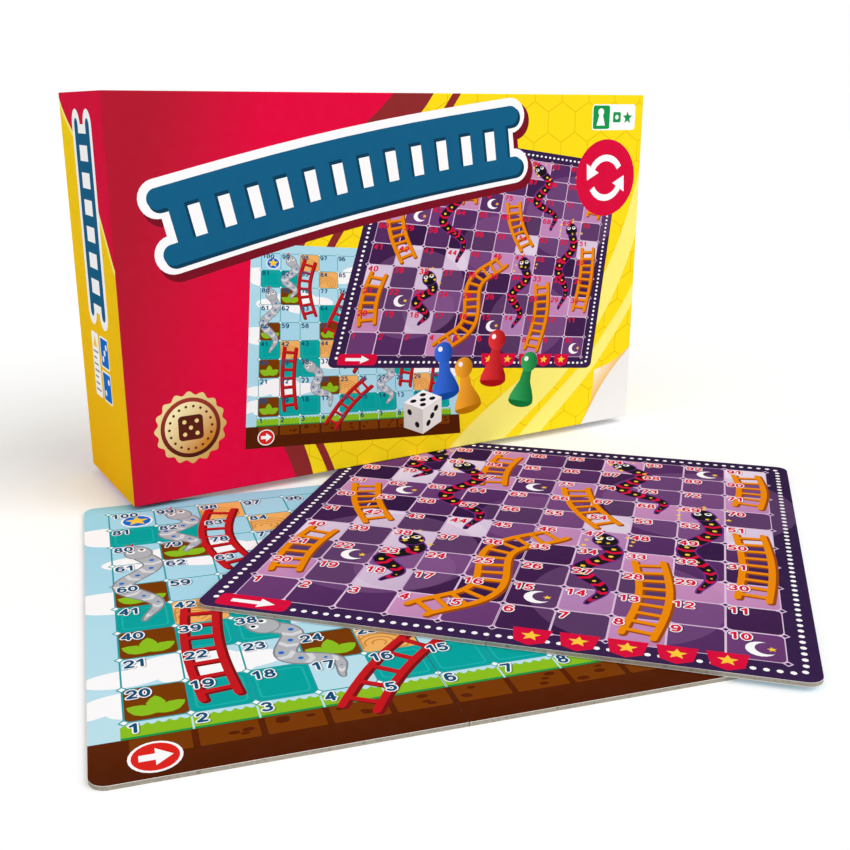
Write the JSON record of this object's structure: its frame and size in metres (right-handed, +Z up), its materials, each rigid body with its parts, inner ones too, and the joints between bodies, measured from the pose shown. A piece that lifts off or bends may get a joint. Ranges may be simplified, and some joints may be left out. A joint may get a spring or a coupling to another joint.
{
  "type": "boxed snakes and ladders game",
  "caption": "Lift-off-lid game box standing on double-sided folding snakes and ladders boards, with loose pawns and a die inside its tray.",
  "frame": {"origin": "middle of the set's overall footprint, on the table under the lower board", "axes": "+X along the box's length, to the right as its printed front is seen; +Y from the box front to its back; +Z up"},
  "size_m": [0.4694, 0.4324, 0.237],
  "materials": {
    "greyboard": "matte",
    "stay_tape": "matte",
    "lid_print": "gloss",
    "tray_print": "satin",
    "day_print": "gloss",
    "night_print": "gloss",
    "pawn_red": "gloss",
    "pawn_blue": "gloss",
    "pawn_green": "gloss",
    "pawn_yellow": "gloss",
    "die_white": "gloss"
  },
  "bodies": {
    "lower_board": {"lower_board_left_core": "greyboard", "lower_board_left_day_sheet": "day_print", "lower_board_left_night_sheet": "night_print", "lower_board_right_core": "greyboard", "lower_board_right_day_sheet": "day_print", "lower_board_right_night_sheet": "night_print"},
    "upper_board": {"upper_board_left_core": "greyboard", "upper_board_left_night_sheet": "night_print", "upper_board_left_day_sheet": "day_print"},
    "upper_board_leaf": {"upper_board_right_core": "greyboard", "upper_board_right_night_sheet": "night_print", "upper_board_right_day_sheet": "day_print"},
    "tray": {"tray_shell": "greyboard", "tray_wrap": "tray_print", "tray_corner_stay_1": "stay_tape", "tray_corner_stay_2": "stay_tape", "tray_corner_stay_3": "stay_tape", "tray_corner_stay_4": "stay_tape"},
    "lid": {"lid_shell": "greyboard", "lid_wrap": "lid_print", "lid_corner_stay_1": "stay_tape", "lid_corner_stay_2": "stay_tape", "lid_corner_stay_3": "stay_tape", "lid_corner_stay_4": "stay_tape"},
    "pawn_red": {"pawn_red": "pawn_red"},
    "pawn_blue": {"pawn_blue": "pawn_blue"},
    "pawn_green": {"pawn_green": "pawn_green"},
    "pawn_yellow": {"pawn_yellow": "pawn_yellow"},
    "die": {"die": "die_white"}
  },
  "joints": [
    {"name": "upper_board_lift", "type": "slide", "parent": "lower_board", "child": "upper_board", "axis": [0, 0, 1], "range_m": [0, 0.1]},
    {"name": "upper_board_fold", "type": "hinge", "parent": "upper_board", "child": "upper_board_leaf", "pos_m": [0.03966, -0.02112, 0.0045], "axis": [-0.7193, -0.6947, 0], "range_deg": [0, 90]},
    {"name": "box_lift", "type": "slide", "parent": "upper_board", "child": "lid", "axis": [0, 0, 1], "range_m": [0, 0.15]},
    {"name": "tray_pull", "type": "slide", "parent": "lid", "child": "tray", "axis": [0, 1, 0], "range_m": [0, 0.1]},
    {"name": "red_pawn_lift", "type": "slide", "parent": "tray", "child": "pawn_red", "axis": [0, 0, 1], "range_m": [0, 0.19]},
    {"name": "blue_pawn_lift", "type": "slide", "parent": "tray", "child": "pawn_blue", "axis": [0, 0, 1], "range_m": [0, 0.19]},
    {"name": "green_pawn_lift", "type": "slide", "parent": "tray", "child": "pawn_green", "axis": [0, 0, 1], "range_m": [0, 0.19]},
    {"name": "yellow_pawn_lift", "type": "slide", "parent": "tray", "child": "pawn_yellow", "axis": [0, 0, 1], "range_m": [0, 0.19]},
    {"name": "die_lift", "type": "slide", "parent": "tray", "child": "die", "axis": [0, 0, 1], "range_m": [0, 0.19]}
  ]
}
